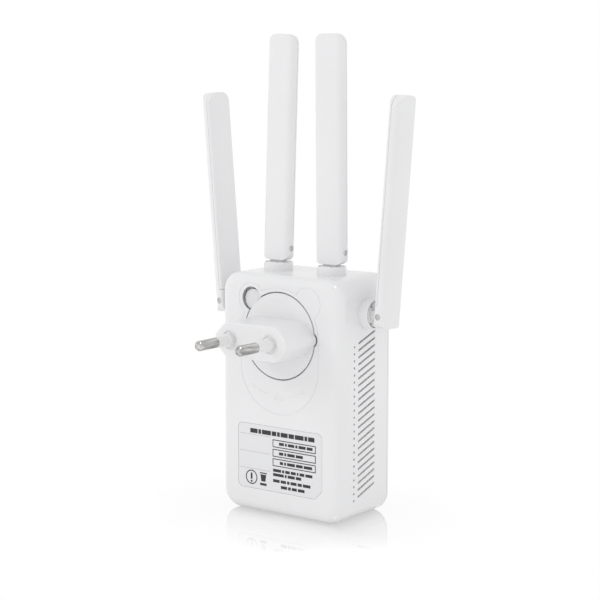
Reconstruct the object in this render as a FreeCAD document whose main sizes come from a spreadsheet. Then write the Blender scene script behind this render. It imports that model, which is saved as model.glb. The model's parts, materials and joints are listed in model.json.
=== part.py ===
import FreeCAD, Part
import math
import os
import Sketcher
from FreeCAD import Placement, Rotation, Vector

# Wall-plug wifi range extender with four folding antennas.
# Frame: the origin is the middle of the flat underside, +Z is up, the LED side faces -Y,
# the mains plug faces +Y. Millimetres throughout.
# "left" is the -X side and "right" the +X side.

DIMENSIONS = (
    # housing
    ("housing_width", 57.4),
    ("housing_depth", 34.0),
    ("housing_height", 93.6),
    ("wall", 2.0),
    ("outline_radius", 7.5),
    ("rear_round", 4.0),
    ("front_round", 2.3),
    ("cover_depth", 2.6),
    ("seam_gap", 0.12),
    ("lip_wall", 1.2),
    ("lip_height", 2.8),
    # rear face: disc seat, release button and moulded lines
    ("disc_height", 70.5),
    ("disc_radius", 16.6),
    ("disc_thickness", 2.0),
    ("disc_gap", 0.55),
    ("seat_radius", 19.4),
    ("seat_depth", 4.4),
    ("hub_radius", 13.0),
    ("hub_length", 6.0),
    ("ear_x", 13.4),
    ("ear_height", 84.0),
    ("ear_radius", 6.2),
    ("ring_radius", 18.7),
    ("ring_low_height", 58.7),
    ("line_width", 0.2),
    ("line_depth", 0.12),
    ("button_hole_radius", 4.6),
    ("button_well_radius", 5.4),
    ("button_skin", 0.5),
    ("button_radius", 4.0),
    ("button_drop", 0.45),
    ("button_sink", 1.3),
    ("button_guide_gap", 0.2),
    ("arrow_radius", 23.6),
    ("arrow_width", 0.5),
    # rating label
    ("label_left", -20.4),
    ("label_right", 20.1),
    ("label_low", 9.4),
    ("label_high", 34.8),
    ("label_corner", 2.2),
    ("label_chamfer", 3.4),
    ("label_sink", 0.3),
    ("label_thickness", 0.24),
    # side vents
    ("vent_pitch", 2.7),
    ("vent_low", 9.5),
    ("vent_rear", 5.1),
    ("vent_front", -5.9),
    ("vent_rise", 3.7),
    ("vent_width", 0.9),
    ("vent_dot_y", 7.6),
    ("vent_dot_drop", 1.0),
    ("vent_dot_radius", 0.5),
    # plug
    ("plug_length", 18.1),
    ("plug_flat", 11.9),
    ("plug_end", 17.1),
    ("plug_nose", 1.5),
    ("plug_half_height", 6.75),
    ("plug_side_round", 3.3),
    ("plug_rim_round", 1.0),
    ("plug_wall", 2.2),
    ("pin_spacing", 19.0),
    ("pin_length", 19.0),
    ("pin_radius", 2.0),
    ("pin_core_radius", 1.5),
    ("sleeve_length", 8.3),
    ("sleeve_radius", 1.95),
    ("sleeve_foot_radius", 2.45),
    ("sleeve_foot_length", 2.4),
    ("pin_well_radius", 3.6),
    ("pin_well_depth", 0.5),
    ("foot_lift", 0.2),
    ("foot_thickness", 0.8),
    ("foot_half_height", 2.6),
    ("foot_reach", 17.7),
    ("foot_notch_gap", 0.55),
    ("foot_notch_depth", 1.2),
    ("back_plate_radius", 11.9),
    ("back_plate_thickness", 1.4),
    # antennas
    ("top_antenna_x", 12.8),
    ("top_antenna_y", 0.6),
    ("side_antenna_z", 79.8),
    ("side_boss_height", 0.8),
    ("stem_hole_radius", 3.3),
    ("stem_radius", 3.22),
    ("stem_catch_radius", 3.9),
    ("stem_bore_radius", 1.1),
    ("collar_radius", 5.7),
    ("collar_height", 3.3),
    ("collar_wall", 0.7),
    ("collar_floor", 0.9),
    ("flange_radius", 4.8),
    ("flange_height", 0.9),
    ("drum_radius", 4.7),
    ("drum_top", 3.4),
    ("tongue_width", 6.0),
    ("tongue_radius", 1.7),
    ("hinge_height", 8.7),
    ("paddle_width", 13.2),
    ("paddle_tip", 82.6),
    ("paddle_foot", 4.55),
    ("edge_outer", 2.3),
    ("edge_outer_round", 2.7),
    ("edge_inner", 1.7),
    ("edge_inner_round", 0.9),
    ("crown_outer", 0.4),
    ("crown_inner", 0.5),
    ("tip_radius", 5.0),
    ("foot_radius", 3.2),
    ("parting", 0.5),
    ("parting_gap", 0.12),
    ("inner_cover_foot", 4.5),
    ("fork_width", 6.6),
    ("fork_reach", 2.1),
    ("paddle_wall", 1.1),
    ("hinge_pin_radius", 0.9),
    ("hinge_head_radius", 1.2),
    ("hinge_head_length", 1.3),
    ("hinge_pin_sink", 0.55),
    # boards
    ("board_thickness", 1.2),
    ("main_board_width", 48.0),
    ("main_board_low", 4.0),
    ("main_board_high", 87.0),
    ("main_board_y", -9.6),
    ("main_post_x", 21.5),
    ("main_post_low", 8.0),
    ("main_post_high", 72.0),
    ("power_board_width", 50.0),
    ("power_board_low", 27.0),
    ("power_board_high", 87.6),
    ("power_board_y", 4.6),
    ("power_post_x", 22.2),
    ("power_post_low", 31.0),
    ("power_post_high", 83.6),
    ("post_radius", 2.2),
    ("screw_radius", 0.9),
    ("screw_head_radius", 1.9),
    ("screw_head_height", 1.2),
    ("screw_length", 4.6),
    # sockets
    ("jack_x", 9.6),
    ("jack_width", 15.6),
    ("jack_depth", 13.4),
    ("jack_height", 16.0),
    ("jack_mouth_width", 11.9),
    ("jack_mouth_depth", 7.2),
    ("jack_key_width", 5.6),
    ("jack_key_depth", 2.2),
    ("jack_wall", 1.6),
    # front: lights and button
    ("light_pitch", 8.0),
    ("light_height", 66.0),
    ("light_radius", 0.9),
    ("wps_height", 30.0),
    ("wps_radius", 4.4),
    ("wps_gap", 0.3),
    ("wps_flange", 5.6),
    # leads
    ("lead_radius", 0.7),
    ("lead_bend", 4.0),
)

VENT_COUNT = 23
PLACES = ("top_left", "top_right", "side_left", "side_right")
# Set of each antenna in degrees: fold away from straight, turn about the collar's axis.
FOLD_AT_REST = {"top_left": -0.8, "top_right": 2.3, "side_left": 86.8, "side_right": 84.6}
TURN_AT_REST = {"top_left": 1.0, "top_right": -2.8, "side_left": -2.0, "side_right": 0.8}

doc = FreeCAD.newDocument("range_extender")
sheet = doc.addObject("Spreadsheet::Sheet", "sizes")
nodes = []


class Size:
    """A number together with the spreadsheet expression that it comes from."""

    def __init__(self, value, text):
        self.value = value
        self.text = text

    def __float__(self):
        return float(self.value)

    def __neg__(self):
        return Size(-self.value, f"-({self.text})")

    def __add__(self, other):
        return Size(self.value + float(other), f"({self.text} + {wording(other)})")

    def __sub__(self, other):
        return Size(self.value - float(other), f"({self.text} - {wording(other)})")

    def __mul__(self, other):
        return Size(self.value * float(other), f"({self.text} * {wording(other)})")

    def __truediv__(self, other):
        return Size(self.value / float(other), f"({self.text} / {wording(other)})")

    def __radd__(self, other):
        return Size(float(other) + self.value, f"({wording(other)} + {self.text})")

    def __rsub__(self, other):
        return Size(float(other) - self.value, f"({wording(other)} - {self.text})")


def wording(number):
    """The expression text of a Size or of a plain number."""
    if isinstance(number, Size):
        return number.text
    return f"({float(number)})"


def fill_sheet():
    """Write the driving dimensions and return them as named Size values."""
    named = {}
    for row, (name, value) in enumerate(DIMENSIONS, start=1):
        sheet.set(f"A{row}", name)
        sheet.set(f"B{row}", str(value))
        sheet.setAlias(f"B{row}", name)
        named[name] = Size(value, f"sizes.{name}")
    doc.recompute()
    return named


class Sizes:
    """The named sizes as attributes."""

    def __init__(self, named):
        self.__dict__.update(named)


s = Sizes(fill_sheet())


# ---- small helpers -------------------------------------------------------------------

def bind(item, prop, number):
    """Set a property, as an expression of the sheet where the number came from it."""
    if isinstance(number, Size):
        item.setExpression(prop, number.text)
        return
    item.setExpression(prop, f"{float(number)}")


def put(item, place):
    """Bind the position of a primitive."""
    for axis, number in zip("xyz", place):
        bind(item, f"Placement.Base.{axis}", number)


def block(name, low, high):
    """Box between two corners."""
    item = doc.addObject("Part::Box", name)
    for prop, start, end in zip(("Length", "Width", "Height"), low, high):
        bind(item, prop, end - start)
    put(item, low)
    return item


TURN_TO = {
    "+x": Rotation(Vector(0, 1, 0), 90),
    "-x": Rotation(Vector(0, 1, 0), -90),
    "+y": Rotation(Vector(1, 0, 0), -90),
    "-y": Rotation(Vector(1, 0, 0), 90),
    "+z": Rotation(),
    "-z": Rotation(Vector(1, 0, 0), 180),
}


def rod(name, start, toward, radius, length):
    """Cylinder that starts at a point and runs along an axis."""
    item = doc.addObject("Part::Cylinder", name)
    item.Placement = Placement(Vector(), TURN_TO[toward])
    bind(item, "Radius", radius)
    bind(item, "Height", length)
    put(item, start)
    return item


def fuse(name, *pieces):
    item = doc.addObject("Part::MultiFuse", name)
    item.Shapes = list(pieces)
    return item


def cut(name, base, *tools):
    item = doc.addObject("Part::Cut", name)
    item.Base = base
    item.Tool = tools[0] if len(tools) == 1 else fuse(name + "_tools", *tools)
    return item


def common(name, first, second):
    item = doc.addObject("Part::Common", name)
    item.Base = first
    item.Tool = second
    return item


def keep(item, label):
    """Name a finished sub-part and list it for export."""
    item.Label = label
    nodes.append(item)
    return item


def new_body(name):
    return doc.addObject("PartDesign::Body", name)


def new_sketch(body, name, role, offset=0):
    """Sketch on one of the body's own origin planes, moved along that plane's normal."""
    item = body.newObject("Sketcher::SketchObject", name)
    origin_plane = next(f for f in body.Origin.OriginFeatures if f.Role == role)
    item.AttachmentSupport = [(origin_plane, "")]
    item.MapMode = "FlatFace"
    bind(item, "AttachmentOffset.Base.z", offset)
    return item


def hold(sketch, kind, geometry, point, number):
    """Constrain one coordinate of a point to the sheet."""
    index = sketch.addConstraint(Sketcher.Constraint(kind, geometry, point, float(number)))
    if isinstance(number, Size):
        sketch.setExpression(f"Constraints[{index}]", number.text)


def polygon(sketch, corners):
    """Closed outline of straight lines through the corners."""
    points = [Vector(float(x), float(y), 0) for x, y in corners]
    first = sketch.GeometryCount
    count = len(points)
    for i, point in enumerate(points):
        sketch.addGeometry(Part.LineSegment(point, points[(i + 1) % count]), False)
    for i in range(count):
        after = first + (i + 1) % count
        sketch.addConstraint(Sketcher.Constraint("Coincident", first + i, 2, after, 1))
    for i, (x, y) in enumerate(corners):
        hold(sketch, "DistanceX", first + i, 1, x)
        hold(sketch, "DistanceY", first + i, 1, y)


def rectangle(sketch, low, high):
    polygon(sketch, (low, (high[0], low[1]), high, (low[0], high[1])))


def circle(sketch, x, y, radius):
    index = sketch.addGeometry(Part.Circle(Vector(float(x), float(y), 0), Vector(0, 0, 1), float(radius)))
    hold(sketch, "DistanceX", index, 3, x)
    hold(sketch, "DistanceY", index, 3, y)
    constraint = sketch.addConstraint(Sketcher.Constraint("Radius", index, float(radius)))
    if isinstance(radius, Size):
        sketch.setExpression(f"Constraints[{constraint}]", radius.text)


def pad(body, sketch, length, backward=False):
    item = body.newObject("PartDesign::Pad", sketch.Name + "_pad")
    item.Profile = sketch
    bind(item, "Length", length)
    item.Reversed = backward
    return item


def pocket(body, sketch, length, backward=False):
    """Pocket that has to take material away."""
    doc.recompute()
    before = body.Shape.Volume
    item = body.newObject("PartDesign::Pocket", sketch.Name + "_pocket")
    item.Profile = sketch
    bind(item, "Length", length)
    item.Reversed = backward
    doc.recompute()
    if body.Shape.Volume >= before - 1e-6:
        raise RuntimeError(f"{item.Name} cuts nothing")
    return item


def revolve(body, sketch):
    """Full turn about the sketch's own vertical axis."""
    item = body.newObject("PartDesign::Revolution", sketch.Name + "_turn")
    item.Profile = sketch
    item.ReferenceAxis = (sketch, ["V_Axis"])
    item.Angle = 360
    return item


def pick_edges(shape, test):
    return [f"Edge{i}" for i, edge in enumerate(shape.Edges, start=1) if test(edge)]


def fillet(body, base, radius, test, kind="PartDesign::Fillet"):
    """Round (or chamfer) the edges of the body's last feature that pass the test."""
    doc.recompute()
    names = pick_edges(base.Shape, test)
    if not names:
        raise RuntimeError(f"{base.Name}: no edge to round")
    item = body.newObject(kind, base.Name + "_edge")
    item.Base = (base, names)
    bind(item, "Radius" if kind.endswith("Fillet") else "Size", radius)
    doc.recompute()
    return item


def span(edge, axis):
    box = edge.BoundBox
    return {"x": box.XLength, "y": box.YLength, "z": box.ZLength}[axis]


def runs_along(edge, axis):
    """True for a straight edge parallel to an axis."""
    others = [name for name in "xyz" if name != axis]
    return span(edge, axis) > 0.01 and all(span(edge, name) < 0.01 for name in others)


def lies_at(edge, axis, place):
    """True for an edge in the plane axis = place."""
    box = edge.BoundBox
    low, high = {"x": (box.XMin, box.XMax), "y": (box.YMin, box.YMax), "z": (box.ZMin, box.ZMax)}[axis]
    return abs(low - float(place)) < 0.01 and abs(high - float(place)) < 0.01


half_width = s.housing_width / 2
rear_y = s.housing_depth / 2
front_y = -rear_y
seam_y = front_y + s.cover_depth
inner_x = half_width - s.wall
inner_top = s.housing_height - s.wall


def housing_outline(body, name, y, inset):
    """Rectangle of the housing seen from the front, pulled in by inset."""
    sketch = new_sketch(body, name, "XZ_Plane", -y)
    rectangle(sketch, (-half_width + inset, inset), (half_width - inset, s.housing_height - inset))
    return sketch


# ---- housing ---------------------------------------------------------------------------

def vent_tools():
    """One slanted slot and one dot, repeated up the side, through both side walls."""
    body = new_body("vent_cutter")
    outline = new_sketch(body, "vent_slot", "YZ_Plane", -half_width - 1)
    half = s.vent_width / 2
    low_rear = (s.vent_rear, s.vent_low)
    low_front = (s.vent_front, s.vent_low + s.vent_rise)
    polygon(outline, (
        (low_rear[0], low_rear[1] - half),
        (low_rear[0], low_rear[1] + half),
        (low_front[0], low_front[1] + half),
        (low_front[0], low_front[1] - half),
    ))
    depth = s.housing_width + 2
    slot = pad(body, outline, depth)
    doc.recompute()
    slots = body.newObject("PartDesign::LinearPattern", "vent_slots")
    slots.Originals = [slot]
    slots.Direction = (outline, ["V_Axis"])
    slots.Length = float(s.vent_pitch) * (VENT_COUNT - 1)
    slots.Occurrences = VENT_COUNT
    body.Tip = slots
    dots = []
    for i in range(VENT_COUNT):
        height = s.vent_low - s.vent_dot_drop + s.vent_pitch * i
        dots.append(rod(f"vent_dot_{i}", (-half_width - 1, s.vent_dot_y, height), "+x", s.vent_dot_radius, depth))
    return body, dots


def moulded_outline(name, shrink):
    """The eared outline moulded round the plug, as a thin solid standing in the rear face."""
    start = rear_y - s.line_depth
    depth = s.line_depth + 1
    ring = s.ring_radius - shrink
    ear = s.ear_radius - shrink
    pieces = [
        rod(name + "_upper", (0, start, s.disc_height), "+y", ring, depth),
        rod(name + "_lower", (0, start, s.ring_low_height), "+y", ring, depth),
        rod(name + "_left", (-s.ear_x, start, s.ear_height), "+y", ear, depth),
        rod(name + "_right", (s.ear_x, start, s.ear_height), "+y", ear, depth),
        block(name + "_middle", (-ring, start, s.ring_low_height), (ring, start + depth, s.disc_height)),
    ]
    return fuse(name, *pieces)


def arc_bar(name, middle_angle, half_angle, head_side):
    """Engraved arc below the plug with an arrow head at one end; angles from straight down."""
    radius = float(s.arrow_radius)
    half = float(s.arrow_width) / 2
    height = float(s.disc_height)
    start = float(rear_y) - float(s.line_depth)
    depth = float(s.line_depth) + 1

    def at(angle, reach):
        turn = math.radians(angle)
        return Vector(reach * math.sin(turn), start, height - reach * math.cos(turn))

    first, last = middle_angle - half_angle, middle_angle + half_angle
    outer = Part.Arc(at(first, radius + half), at(middle_angle, radius + half), at(last, radius + half))
    inner = Part.Arc(at(last, radius - half), at(middle_angle, radius - half), at(first, radius - half))
    sides = [
        Part.LineSegment(at(last, radius + half), at(last, radius - half)),
        Part.LineSegment(at(first, radius - half), at(first, radius + half)),
    ]
    bar = Part.Face(Part.Wire([outer.toShape(), sides[0].toShape(), inner.toShape(), sides[1].toShape()]))
    end = middle_angle + head_side * half_angle
    tip = end + head_side * 4.5
    head = Part.Face(Part.makePolygon([at(end, radius + 3 * half), at(tip, radius), at(end, radius - 3 * half),
                                       at(end, radius + 3 * half)]))
    item = doc.addObject("Part::Feature", name)
    item.Shape = bar.extrude(Vector(0, depth, 0)).fuse(head.extrude(Vector(0, depth, 0)))
    return item


def eject_mark():
    """Generic release pictogram: a triangle above a bar."""
    half = 2.2
    low = 45.7
    start = rear_y - s.line_depth
    bar = block("mark_bar", (-half, start, low), (half, start + 1, low + 0.6))
    points = [(-half, low + 1.1), (half, low + 1.1), (0, low + 3.0), (-half, low + 1.1)]
    outline = Part.makePolygon([Vector(x, float(start), z) for x, z in points])
    item = doc.addObject("Part::Feature", "mark_triangle")
    item.Shape = Part.Face(outline).extrude(Vector(0, 1, 0))
    return [bar, item]


def label_blank(name, grow, back, thickness):
    """Label outline with one cut corner, standing on the plane y = back."""
    body = new_body(name)
    outline = new_sketch(body, name + "_outline", "XZ_Plane", -back)
    low, high = s.label_low - grow, s.label_high + grow
    left, right = s.label_left - grow, s.label_right + grow
    polygon(outline, (
        (left, low + s.label_chamfer),
        (left + s.label_chamfer, low),
        (right, low),
        (right, high),
        (left, high),
    ))
    plate = pad(body, outline, thickness, backward=True)

    def square_corner(edge):
        return runs_along(edge, "y") and not (
            edge.BoundBox.ZMin < float(low + s.label_chamfer) + 0.01 and edge.BoundBox.XMin < 0)

    fillet(body, plate, s.label_corner, square_corner)
    return body


def rounded_bar(name, inset, start_y, length):
    """Bar along Y that follows the housing's outline at an inset."""
    body = new_body(name)
    outline = housing_outline(body, name + "_outline", start_y, inset)
    plate = pad(body, outline, length, backward=True)
    fillet(body, plate, s.outline_radius - inset, lambda e: runs_along(e, "y"))
    return body


def make_tub():
    body = new_body("tub_blank")
    outline = housing_outline(body, "tub_outline", rear_y, 0)
    solid = pad(body, outline, s.housing_depth - s.cover_depth)
    upright = fillet(body, solid, s.outline_radius, lambda e: runs_along(e, "y"))
    fillet(body, upright, s.rear_round, lambda e: lies_at(e, "y", rear_y))
    inner_y = rear_y - s.wall
    cavity = rounded_bar("tub_hollow", s.wall, seam_y - 1, inner_y - seam_y + 1)
    hollowed = cut("tub_hollowed", body, cavity)

    vents, dots = vent_tools()
    vented = cut("tub_vented", hollowed, vents, *dots)

    seat_y = rear_y - s.seat_depth
    posts = []
    pilots = []
    for side, x in (("left", -s.power_post_x), ("right", s.power_post_x)):
        for level, z in (("low", s.power_post_low), ("high", s.power_post_high)):
            start = s.power_board_y + s.board_thickness
            posts.append(rod(f"power_post_{side}_{level}", (x, start, z), "+y", s.post_radius,
                             inner_y - start + 0.5))
            pilots.append(rod(f"power_pilot_{side}_{level}", (x, s.power_board_y, z), "+y",
                              s.screw_radius + 0.02, s.screw_length + 0.6))
    bosses = [
        rod("seat_boss", (0, seat_y, s.disc_height), "+y", s.seat_radius, s.seat_depth - 1),
        rod("button_boss", (s.ear_x, seat_y, s.ear_height), "+y", s.button_well_radius + 0.8, s.seat_depth - 1),
        rod("side_boss_left", (-half_width + 1, 0, s.side_antenna_z), "-x", s.collar_radius,
            s.side_boss_height + 1),
        rod("side_boss_right", (half_width - 1, 0, s.side_antenna_z), "+x", s.collar_radius,
            s.side_boss_height + 1),
    ]
    walls = fuse("tub_walls", vented, *posts, *bosses)

    deep = s.seat_depth + 2
    guide_radius = s.button_radius + s.button_guide_gap
    button_z = s.ear_height - s.button_drop
    step_y = rear_y - s.disc_thickness - 0.2
    tools = [
        rod("disc_recess", (0, step_y, s.disc_height), "+y", s.disc_radius + s.disc_gap, deep),
        rod("hub_hole", (0, seat_y - 1, s.disc_height), "+y", s.hub_radius + s.disc_gap, deep),
        rod("button_hole", (s.ear_x, step_y, s.ear_height), "+y", s.button_hole_radius, deep),
        rod("button_well", (s.ear_x, seat_y + 0.9, s.ear_height), "+y", s.button_well_radius,
            s.seat_depth - 0.9 - s.button_skin),
        rod("button_guide", (s.ear_x, seat_y - 1, button_z), "+y", guide_radius, deep),
        rod("stem_hole_left", (-half_width - 2, 0, s.side_antenna_z), "+x", s.stem_hole_radius, 6),
        rod("stem_hole_right", (half_width + 2, 0, s.side_antenna_z), "-x", s.stem_hole_radius, 6),
    ]
    foot_x = s.foot_reach - s.foot_half_height
    for side, x in (("left", -foot_x), ("right", foot_x)):
        tools.append(rod(f"foot_notch_{side}", (x, rear_y - s.foot_notch_depth, s.disc_height), "+y",
                         s.foot_half_height + s.foot_notch_gap, s.foot_notch_depth + 2))
    for side, x in (("left", -s.top_antenna_x), ("right", s.top_antenna_x)):
        tools.append(rod(f"stem_hole_top_{side}", (x, s.top_antenna_y, inner_top - 1), "+z",
                         s.stem_hole_radius, 6))
    for side, x in (("left", -s.jack_x), ("right", s.jack_x)):
        tools.append(jack_opening(side, x))
    groove = cut("moulded_line", moulded_outline("line_outer", 0), moulded_outline("line_inner", s.line_width))
    marks = [arc_bar("arc_left", -21.5, 7.5, -1), arc_bar("arc_right", 21.5, 7.5, 1)] + eject_mark()
    recess = label_blank("label_recess", 0.15, rear_y - s.label_sink, 1)
    return keep(cut("tub", walls, groove, recess, *marks, *pilots, *tools), "rear_tub")


def jack_mouth(name, x, low, high, grow):
    """Mouth of a network socket: the plug's space with the latch's key way behind it."""
    middle = s.main_board_y + s.board_thickness + s.jack_depth / 2
    half = s.jack_mouth_width / 2 + grow
    front = middle - s.jack_mouth_depth / 2 - grow
    back = middle + s.jack_mouth_depth / 2 + grow
    space = block(name + "_space", (x - half, front, low), (x + half, back, high))
    key_half = s.jack_key_width / 2 + grow
    key = block(name + "_key", (x - key_half, back - 0.1, low), (x + key_half, back + s.jack_key_depth, high))
    return fuse(name, space, key)


def jack_opening(side, x):
    return jack_mouth(f"jack_opening_{side}", x, Size(-1, "-1"), s.wall + 1, Size(0.4, "0.4"))


def make_cover():
    body = new_body("cover_blank")
    outline = housing_outline(body, "cover_outline", seam_y - s.seam_gap, 0)
    plate = pad(body, outline, s.cover_depth - s.seam_gap)
    upright = fillet(body, plate, s.outline_radius, lambda e: runs_along(e, "y"))
    fillet(body, upright, s.front_round, lambda e: lies_at(e, "y", front_y))
    back_y = seam_y - s.seam_gap
    inset = s.wall + 0.15
    lip_outer = rounded_bar("lip_outer", inset, back_y - 0.5, s.lip_height + 0.5)
    lip_inner = rounded_bar("lip_inner", inset + s.lip_wall, back_y - 1, s.lip_height + 2)
    lip = cut("lip", lip_outer, lip_inner)
    posts = []
    pilots = []
    for side, x in (("left", -s.main_post_x), ("right", s.main_post_x)):
        for level, z in (("low", s.main_post_low), ("high", s.main_post_high)):
            posts.append(rod(f"main_post_{side}_{level}", (x, back_y - 0.5, z), "+y", s.post_radius,
                             s.main_board_y - back_y + 0.5))
            pilots.append(rod(f"main_pilot_{side}_{level}", (x, s.main_board_y + 1, z), "-y",
                              s.screw_radius + 0.02, s.screw_length + 0.6))
    walls = fuse("cover_walls", body, lip, *posts)
    holes = [rod(f"light_hole_{i}", (s.light_pitch * (i - 1.5), front_y - 1, s.light_height), "+y",
                 s.light_radius + 0.1, s.cover_depth + 2) for i in range(4)]
    holes.append(rod("wps_hole", (0, front_y - 1, s.wps_height), "+y", s.wps_radius + s.wps_gap, s.cover_depth + 2))
    return keep(cut("cover", walls, *holes, *pilots), "front_cover")


# ---- plug module ---------------------------------------------------------------------

def make_plug_body():
    body = new_body("plug_blank")
    face_y = rear_y + s.plug_length
    outline = new_sketch(body, "plug_section", "XZ_Plane", -face_y)
    z = s.disc_height
    half_height = s.plug_half_height
    flat = s.plug_flat
    end = s.plug_end
    nose = s.plug_nose
    polygon(outline, (
        (-flat, z - half_height), (flat, z - half_height), (end, z - nose), (end, z + nose),
        (flat, z + half_height), (-flat, z + half_height), (-end, z + nose), (-end, z - nose),
    ))
    block_pad = pad(body, outline, s.plug_length + 0.5)
    sides = fillet(body, block_pad, s.plug_side_round, lambda e: runs_along(e, "y"))
    fillet(body, sides, s.plug_rim_round, lambda e: lies_at(e, "y", face_y))

    disc = rod("plug_disc", (0, rear_y - s.disc_thickness, s.disc_height), "+y", s.disc_radius, s.disc_thickness)
    low_y = rear_y - 1
    band = block("foot_band", (-20, low_y, z - 10), (20, rear_y + s.foot_lift, z + 10))
    inside = rod("foot_core", (0, low_y - 1, z), "+y", s.disc_radius, 5)
    lifted = cut("plug_lifted", body, cut("foot_ring", band, inside))
    feet = [rod(f"plug_foot_{i}", ((s.foot_reach - s.foot_half_height) * (2 * i - 1), rear_y + s.foot_lift, z),
                "+y", s.foot_half_height, s.foot_thickness) for i in range(2)]
    hub = rod("plug_hub", (0, rear_y - s.disc_thickness - s.hub_length, s.disc_height), "+y",
              s.hub_radius, s.hub_length + 0.5)
    solid = fuse("plug_solid", lifted, disc, hub, *feet)

    hub_y = rear_y - s.disc_thickness - s.hub_length
    half = s.plug_half_height - s.plug_wall
    hollow = block("plug_hollow", (-s.plug_flat - 1, hub_y - 1, s.disc_height - half),
                   (s.plug_flat + 1, face_y - 4, s.disc_height + half))
    seat = rod("plate_seat", (0, hub_y - 1, s.disc_height), "+y", s.back_plate_radius + 0.1,
               s.back_plate_thickness + 1)
    tools = [hollow, seat]
    for side, x in (("left", -s.pin_spacing / 2), ("right", s.pin_spacing / 2)):
        tools.append(rod(f"pin_well_{side}", (x, face_y - s.pin_well_depth, s.disc_height), "+y",
                         s.pin_well_radius, s.pin_well_depth + 1))
        tools.append(rod(f"pin_hole_{side}", (x, hub_y, s.disc_height), "+y", s.pin_core_radius, s.plug_length + 10))
    return keep(cut("plug_moulding", solid, *tools), "plug_body")


def turned(name, outline, x, y, toward):
    """Solid of revolution from (radius, height) corners, stood at (x, y, disc height)."""
    body = new_body(name)
    sketch = new_sketch(body, name + "_profile", "XZ_Plane")
    polygon(sketch, outline)
    revolve(body, sketch)
    body.Placement = Placement(Vector(float(x), float(y), float(s.disc_height)), TURN_TO[toward])
    return body


def make_pins():
    face = s.plug_length
    foot = -s.disc_thickness - s.hub_length - 0.6
    bare = face + s.sleeve_length
    tip = face + s.pin_length
    for side, x in (("left", -s.pin_spacing / 2), ("right", s.pin_spacing / 2)):
        core = turned(f"pin_{side}", (
            (0, foot), (s.pin_core_radius, foot), (s.pin_core_radius, bare), (s.pin_radius, bare),
            (s.pin_radius, tip), (0, tip)), x, rear_y, "+y")
        end = fillet(core, core.Tip, s.pin_radius - 0.25,
                     lambda e: lies_at(e, "z", tip) and e.BoundBox.XLength > 3)
        fillet(core, end, 0.2, lambda e: lies_at(e, "z", bare) and e.BoundBox.XLength > 3.5)
        keep(core, f"plug_pin_{side}")
        base = face - s.pin_well_depth
        step = face + s.sleeve_foot_length
        sleeve = turned(f"sleeve_{side}", (
            (s.pin_core_radius, base), (s.sleeve_foot_radius, base), (s.sleeve_foot_radius, step - 0.3),
            (s.sleeve_radius + 0.15, step), (s.sleeve_radius, bare), (s.pin_core_radius, bare)), x, rear_y, "+y")
        keep(sleeve, f"pin_sleeve_{side}")


def make_back_plate():
    y = rear_y - s.disc_thickness - s.hub_length
    plate = rod("plate_disc", (0, y, s.disc_height), "+y", s.back_plate_radius, s.back_plate_thickness)
    holes = [rod(f"plate_hole_{i}", (s.pin_spacing * (i - 0.5), y - 1, s.disc_height), "+y",
                 s.pin_core_radius, s.back_plate_thickness + 2) for i in range(2)]
    keep(cut("plate", plate, *holes), "plug_back_plate")


def make_release_button():
    """Round plunger whose rim is cut back where the plug's disc lies over it."""
    z = s.ear_height - s.button_drop
    top_y = rear_y - s.button_sink
    foot_y = s.power_board_y + s.board_thickness + 1.8
    plunger = rod("button_plunger", (s.ear_x, foot_y, z), "+y", s.button_radius, top_y - foot_y)
    crown = rod("button_clearance", (0, rear_y - s.disc_thickness - 0.4, s.disc_height), "+y",
                s.disc_radius + s.disc_gap, 5)
    bore = rod("button_bore", (s.ear_x, foot_y - 1, z), "+y", 2.5, top_y - foot_y - 1.2)
    hub = rod("button_hub_clearance", (0, foot_y - 1, s.disc_height), "+y", s.hub_radius + s.disc_gap, 20)
    shaped = cut("button_shape", plunger, crown, bore, hub)
    keep(shaped, "release_button")


def make_release_spring():
    """Closed-wound coil between the power board and the button's bore."""
    low = float(s.power_board_y + s.board_thickness)
    high = float(rear_y - s.button_sink) - 1.2 - 1.9
    z = float(s.ear_height - s.button_drop)
    wire = 0.22
    radius = 1.9
    helix = Part.makeHelix(1.05, high - low - 2 * wire, radius)
    profile = Part.Wire([Part.makeCircle(wire, Vector(radius, 0, 0), Vector(0, 1, 0))])
    coil = Part.Wire(helix.Edges).makePipeShell([profile], True, True)
    item = doc.addObject("Part::Feature", "spring_coil")
    item.Shape = coil
    item.Placement = Placement(Vector(float(s.ear_x), low + wire, z), TURN_TO["+y"])
    keep(item, "release_spring")


def make_label():
    keep(label_blank("label_plate", 0, rear_y - s.label_sink, s.label_thickness), "rating_label")


# ---- antennas --------------------------------------------------------------------------

def seat_frame(place):
    """Frame on a collar's seat: Z out of the housing, X along the hinge pin, Y to the outer shell."""
    if place.startswith("top"):
        side = -1 if place.endswith("left") else 1
        seat = Vector(side * float(s.top_antenna_x), float(s.top_antenna_y), float(s.housing_height))
        axes = Rotation(Vector(1, 0, 0), Vector(0, 1, 0), Vector(0, 0, 1), "XYZ")
        return Placement(seat, axes)
    side = -1 if place.endswith("left") else 1
    seat = Vector(side * float(half_width + s.side_boss_height), 0, float(s.side_antenna_z))
    out = Vector(side, 0, 0)
    pin = Vector(0, -side, 0)
    axes = Rotation(pin, out.cross(pin), out, "XYZ")
    return Placement(seat, axes)


def swivel_frame(place):
    """The seat's frame turned to the antenna's set about the collar's axis."""
    turn = Placement(Vector(), Rotation(Vector(0, 0, 1), TURN_AT_REST[place]))
    return seat_frame(place).multiply(turn)


def paddle_frame(place):
    """Frame on the hinge pin: Z along the antenna to its tip, Y to the outer shell."""
    fold = Placement(Vector(0, 0, float(s.hinge_height)), Rotation(Vector(1, 0, 0), FOLD_AT_REST[place]))
    return swivel_frame(place).multiply(fold)


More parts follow.
